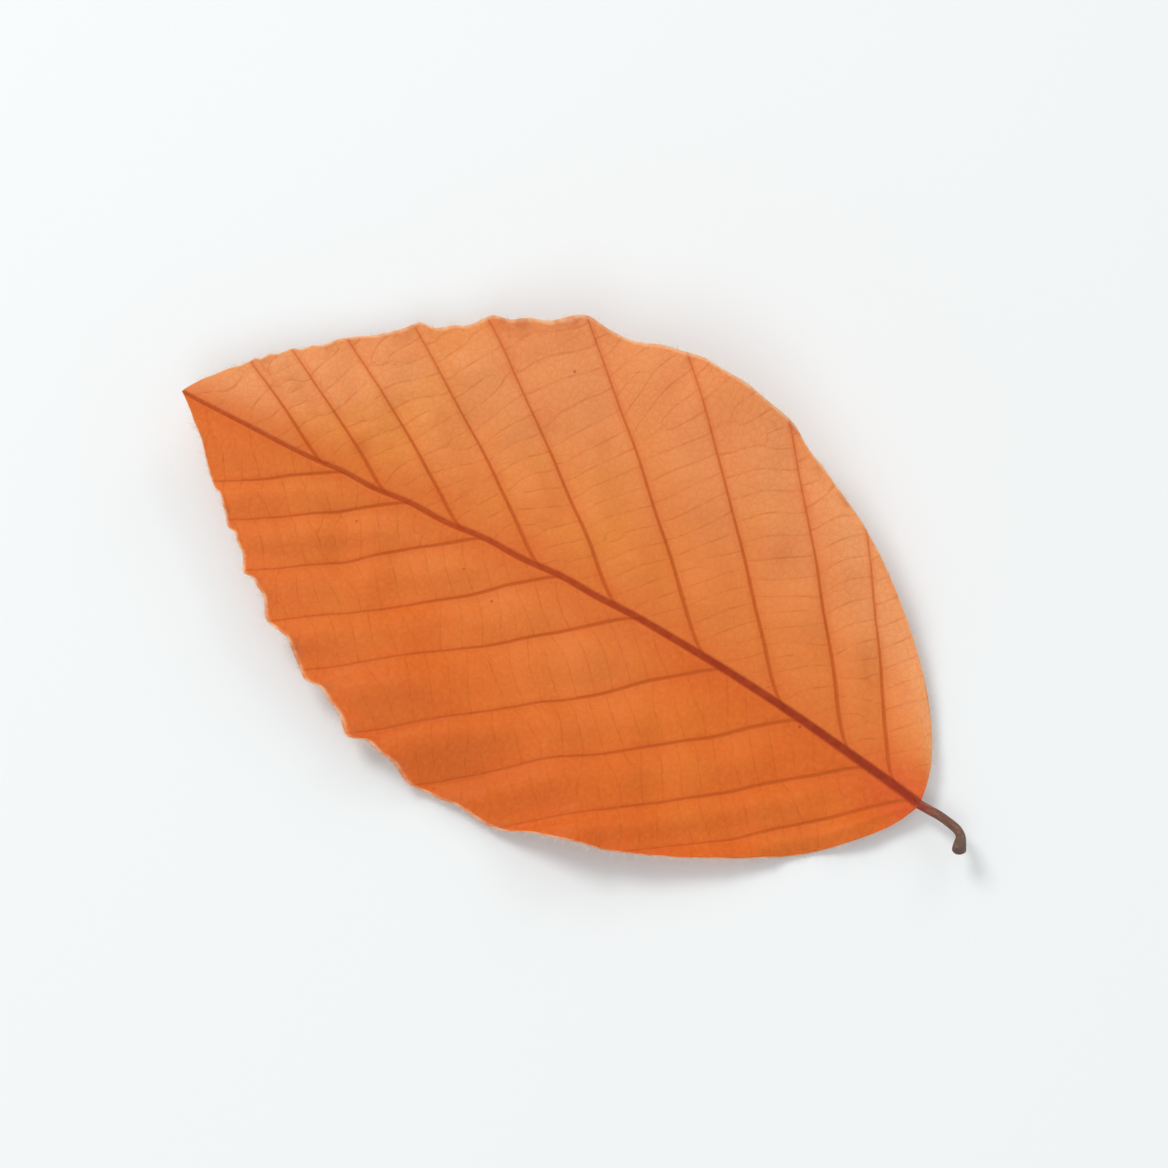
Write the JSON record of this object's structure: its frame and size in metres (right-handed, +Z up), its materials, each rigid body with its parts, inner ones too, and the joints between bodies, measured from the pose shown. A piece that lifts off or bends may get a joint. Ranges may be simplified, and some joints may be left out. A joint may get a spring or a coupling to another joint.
{
  "type": "beech leaf",
  "caption": "Single orange-brown beech leaf: oval pleated blade with straight side veins, a shallow-toothed margin that curls up, and a short bent stalk, lying upper face up.",
  "frame": {"origin": "middle of the leaf's box, on the surface that the leaf lies on", "axes": "+X from the stalk to the tip, +Y to the left half of the blade, +Z up out of the upper face"},
  "size_m": [0.0988, 0.0556, 0.0121],
  "materials": {
    "leaf": "satin, soft and slightly waxy, with darker veins"
  },
  "bodies": {
    "root": {"beech_leaf": "leaf"}
  },
  "joints": []
}
